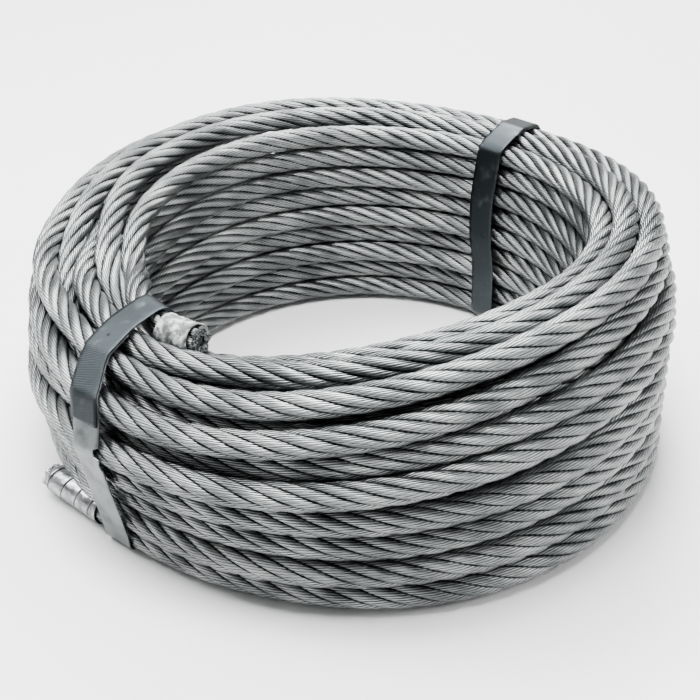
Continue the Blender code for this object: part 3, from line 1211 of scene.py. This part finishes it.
@dataclass
class BindingStrap:
    """Steel strap pulled tight round the winding, which passes over itself at its joint.

    It lies a little askew, so its azimuth is given at several bearings. A bearing is
    the direction from the middle of the coil's section, 0 outward and 90 up. Both are
    in degrees. A notch is where it starts along the strap, its length and its depth.
    """

    winding: Winding
    name: str
    node: str
    azimuths: tuple[Band, ...]
    finish: Finish
    start: Band
    lap: float = 0.034
    width: float = 0.0127
    thickness: float = 0.0005
    gap: float = 0.0003
    lead: float = 0.012
    slant: float = 0.0
    notches: tuple[Triple, ...] = ()
    notch_squeeze: float = 0.1
    skew: float = 0.0
    skew_at: float = 0.0
    skew_reach: float = 0.022
    middle: Band = (0.108, 0.042)
    step: float = 0.0008
    softening: int = 9
    lanes: int = 8
    edge_round: float = 0.00012
    arc_points: int = 32

    def azimuth_at(self, radius: float, level: float) -> float:
        """Finds where the strap's middle lies at a place in the section.

        Args:
            radius: the place's distance from the coil's axis.
            level: its height.

        Returns:
            The azimuth in degrees.
        """
        bearing = math.degrees(math.atan2(level - self.middle[1], radius - self.middle[0]))
        bearings, azimuths = zip(*self.azimuths)
        return float(np.interp(bearing, bearings, azimuths, period=360.0))

    def crossed(self) -> list[Band]:
        """Finds the turns under the strap.

        Returns:
            Radius and height of each turn's centre where the strap passes over it, at
            both edges of the strap and in the middle.
        """
        usual = sum(azimuth for _, azimuth in self.azimuths) / len(self.azimuths)
        half = math.degrees(self.width / 2 / self.middle[0])
        centres = []
        for turn in range(len(self.winding.radius)):
            spot = self.winding.crossing_at(turn, usual)
            if not spot:
                continue
            azimuth = self.azimuth_at(*spot)
            for beside in (-half, 0.0, half):
                centres.append(self.winding.crossing_at(turn, azimuth + beside) or spot)
        return centres

    def outline(self) -> np.ndarray:
        """Finds the taut line round the section's turns.

        Returns:
            Its points as (radius, height), counterclockwise, a step apart.
        """
        reach = self.winding.rope / 2 + self.gap
        spots = []
        for r, z in self.crossed():
            for k in range(self.arc_points):
                angle = FULL_TURN * k / self.arc_points
                spots.append((r + reach * math.cos(angle), z + reach * math.sin(angle)))
        ring = [spots[i] for i in convex_hull_2d(spots)]
        area = sum(a[0] * b[1] - b[0] * a[1] for a, b in zip(ring, ring[1:] + ring[:1]))
        if area < 0:
            ring.reverse()
        loop = np.array(ring + ring[:1])
        marks = marks_along(loop)
        wanted = np.arange(0.0, marks[-1], self.step)
        return np.stack([np.interp(wanted, marks, loop[:, i]) for i in range(2)], axis=1)

    def route(self) -> tuple[np.ndarray, np.ndarray]:
        """Works out the strap's own line from its outer end to its inner one.

        Returns:
            Points as (radius, height) a step apart, the lap lifted off the layer
            below, and the direction away from the coil at each of them.
        """
        ring = self.outline()
        first = int(np.argmin(np.hypot(ring[:, 0] - self.start[0], ring[:, 1] - self.start[1])))
        ring = np.roll(ring, -first, axis=0)
        line = np.concatenate([ring, ring[:int(self.lap / self.step)]])
        heading = np.gradient(line, axis=0)
        heading /= np.linalg.norm(heading, axis=1)[:, None]
        away = np.stack([heading[:, 1], -heading[:, 0]], axis=1)
        run = np.arange(len(line)) * self.step
        lift = (self.thickness + self.gap) * (1.0 - smooth((run - self.lap) / self.lead))
        return line + away * lift[:, None], away

    def grid(self) -> np.ndarray:
        """Lays the strap's lanes along its line.

        Returns:
            Points as an array of stations, lanes and coordinates.
        """
        points, away = self.route()
        turned = np.radians([self.azimuth_at(*point) for point in points])
        run = np.arange(len(points)) * self.step
        beside = np.abs(run - self.skew_at)
        turned += math.radians(self.skew) * smooth(1.0 - beside / self.skew_reach)
        padded = np.pad(turned, self.softening // 2, mode="edge")
        turned = np.convolve(padded, np.ones(self.softening) / self.softening, mode="valid")
        spoke = np.stack([np.cos(turned), np.sin(turned), np.zeros(len(turned))], axis=1)
        up = np.array(UP)
        middle = spoke * points[:, :1] + up * points[:, 1:]
        normal = spoke * away[:, :1] + up * away[:, 1:]
        heading = np.gradient(middle, axis=0)
        side = np.cross(heading, normal)
        side /= np.linalg.norm(side, axis=1)[:, None]
        heading /= np.linalg.norm(heading, axis=1)[:, None]
        rows = []
        for i, centre in enumerate(middle):
            offsets = [self.trim(i * self.step, (lane / self.lanes - 0.5) * self.width)
                       for lane in range(self.lanes + 1)]
            cut = self.slant * max(0.0, 1.0 - i * self.step / self.lead)
            rows.append([centre + side[i] * x + heading[i] * cut * x / self.width for x in offsets])
        return np.array(rows)

    def build(self) -> bpy.types.Object:
        """Makes the strap.

        Returns:
            The strap.
        """
        grid = self.grid()
        bm = bmesh.new()
        uv = bm.loops.layers.uv.new(STRIP_UV)
        corners = [[bm.verts.new(tuple(point)) for point in row] for row in grid]
        for i in range(len(corners) - 1):
            for lane in range(self.lanes):
                spots = [(i, lane), (i, lane + 1), (i + 1, lane + 1), (i + 1, lane)]
                face = bm.faces.new([corners[a][b] for a, b in spots])
                for loop, (a, b) in zip(face.loops, spots):
                    loop[uv].uv = (b / self.lanes * self.width, a * self.step)
        strap = add_skin(self.name, bm, self.finish)
        sheet = strap.modifiers.new("sheet", "SOLIDIFY")
        sheet.thickness = self.thickness
        sheet.offset = 1.0
        sheet.use_even_offset = True
        edge = strap.modifiers.new("edge", "BEVEL")
        edge.width = self.edge_round
        edge.segments = 1
        edge.limit_method = "ANGLE"
        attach(strap, "root")
        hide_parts(self.node)
        LOG.info("%s: %.0f mm of strap", self.name, len(grid) * self.step * 1000)
        return strap

    def trim(self, run: float, across: float) -> float:
        """Cuts the strap's edge notches.

        Args:
            run: distance from the strap's outer end.
            across: place across the strap before, from its middle.

        Returns:
            The place across, moved in where a notch is.
        """
        for start, length, depth in self.notches:
            limit = self.width / 2 - depth
            if start <= run <= start + length and across > limit:
                return limit + self.notch_squeeze * (across - limit)
        return across


# studio


@dataclass(frozen=True)
class SoftLight:
    """Soft square light that faces the coil, or an even one where it has no place."""

    name: str
    kind: str
    power: float
    size: float
    toward: Triple
    aim: Triple = (0.0, 0.0, 0.04)

    def build(self) -> bpy.types.Object:
        """Makes the light.

        Returns:
            The light.
        """
        lamp = bpy.data.lights.new(self.name, self.kind)
        lamp.energy = self.power
        holder = add_object(self.name, lamp)
        if self.kind == "SUN":
            lamp.angle = self.size
            heading = -Vector(self.toward)
        else:
            lamp.size = self.size
            holder.location = self.toward
            heading = Vector(self.aim) - Vector(self.toward)
        holder.rotation_euler = heading.to_track_quat("-Z", "Y").to_euler()
        return holder


@dataclass
class Studio:
    """Pale floor, soft lights and the camera."""

    camera_place: Triple = (0.0202, -0.3852, 0.2636)
    camera_ahead: Triple = (-0.0382, 0.8453, -0.5331)
    camera_roll: float = math.radians(0.679)
    lens: float = 54.79
    sensor: float = 36.0
    clip_start: float = 0.01
    floor_size: float = 6.0
    sky: float = 0.37
    lights: tuple[SoftLight, ...] = (
        SoftLight("overhead", "SUN", 5.6, 0.6, (-0.24, 0.42, 1.0)),
        SoftLight("key", "AREA", 16.0, 0.4, (-0.85, 0.15, 0.85)),
        SoftLight("fill", "AREA", 8.0, 0.4, (1.1, -0.10, 0.60)),
        SoftLight("back", "AREA", 32.0, 0.5, (0.1, 1.0, 1.0)),
        SoftLight("bore", "AREA", 6.5, 0.25, (0.0, -0.08, 0.60)),
    )

    def build(self) -> None:
        """Makes the floor, the lights and the camera."""
        self.floor()
        for light in self.lights:
            light.build()
        world = bpy.data.worlds.new("studio")
        world.use_nodes = True
        back = world.node_tree.nodes["Background"]
        back.inputs["Color"].default_value = (1.0, 1.0, 1.0, 1.0)
        back.inputs["Strength"].default_value = self.sky
        bpy.context.scene.world = world
        self.camera()
        LOG.info("studio: floor, five lights, camera")

    def floor(self) -> None:
        """Makes the floor that the coil lies on."""
        half = self.floor_size / 2
        corners = [(-half, -half, 0.0), (half, -half, 0.0), (half, half, 0.0), (-half, half, 0.0)]
        floor = add_mesh("floor", corners, [], [(0, 1, 2, 3)])
        floor.data.materials.append(Plain("pale_floor", 0.9, 0.0).build())

    def camera(self) -> None:
        """Sets the camera at the photograph's angle."""
        data = bpy.data.cameras.new("camera")
        data.sensor_width = self.sensor
        data.lens = self.lens
        data.clip_start = self.clip_start
        holder = add_object("camera", data)
        ahead = Vector(self.camera_ahead).normalized()
        right = ahead.cross(UP).normalized()
        up = right.cross(ahead)
        turned = right * math.cos(self.camera_roll) + up * math.sin(self.camera_roll)
        upright = up * math.cos(self.camera_roll) - right * math.sin(self.camera_roll)
        axes = Matrix((turned, upright, -ahead)).transposed().to_4x4()
        holder.matrix_world = Matrix.Translation(self.camera_place) @ axes
        bpy.context.scene.camera = holder


# each strap's azimuth by bearing
FRONT_AZIMUTHS = (
    (-135.0, 228.0), (-90.0, 232.0), (-58.0, 235.2), (-30.0, 234.0), (-5.0, 233.5),
    (20.0, 232.4), (35.0, 231.0), (56.0, 228.6), (68.0, 227.2), (82.0, 226.2),
    (93.0, 225.6), (106.0, 224.6), (118.0, 224.0), (180.0, 225.0))
BACK_AZIMUTHS = (
    (-150.0, 46.0), (-116.0, 44.8), (-60.0, 46.0), (0.0, 49.0), (76.0, 49.5), (92.0, 48.3),
    (112.0, 49.0), (134.0, 49.1), (180.0, 47.8))
FRONT_NOTCHES = ((0.2106, 0.0033, 0.0026), (0.2068, 0.0020, 0.0010))
WRAP_LINE_STEP = 0.002
WRAP_LINE_POINTS = 40


def main() -> None:
    """Builds the coil, its straps and wraps, and the studio round it."""
    logging.basicConfig(level=logging.INFO, format="%(name)s: %(message)s")
    Studio().build()
    winding = Winding()
    winding.wind()
    LaidRope(winding).build()
    line = winding.centre_line(WRAP_LINE_STEP)
    EndWrap("crinkled_upper_wrap", "top_end_tape", "pale_tape",
            CrinkledTape("pale_crinkled_tape", 0.55, 0.0), length=0.0148, setback=0.0014,
            ripple=0.00034).build(line[-WRAP_LINE_POINTS:])
    EndWrap("silver_lower_wrap", "bottom_end_tape", "silver_tape",
            SilverTape("silver_tape_finish", 0.30, 0.85), length=0.030, setback=0.0008,
            wall=0.0004, ripple=0.00006, rounded_tip=True).build(line[:WRAP_LINE_POINTS][::-1])
    worn = StrapSteel("blued_strap_worn_low", 0.40, 1.0, bare_from=0.150, spot=(0.0062, 0.0290))
    BindingStrap(winding, "front_binding_strap", "front_strap", FRONT_AZIMUTHS, worn,
                 start=(0.135, 0.0555), slant=-0.0025, notches=FRONT_NOTCHES).build()
    BindingStrap(winding, "back_binding_strap", "back_strap", BACK_AZIMUTHS,
                 StrapSteel("blued_strap", 0.32, 1.0), start=(0.140, 0.078),
                 skew=-2.4, skew_at=0.238).build()


if __name__ == "__main__":
    main()
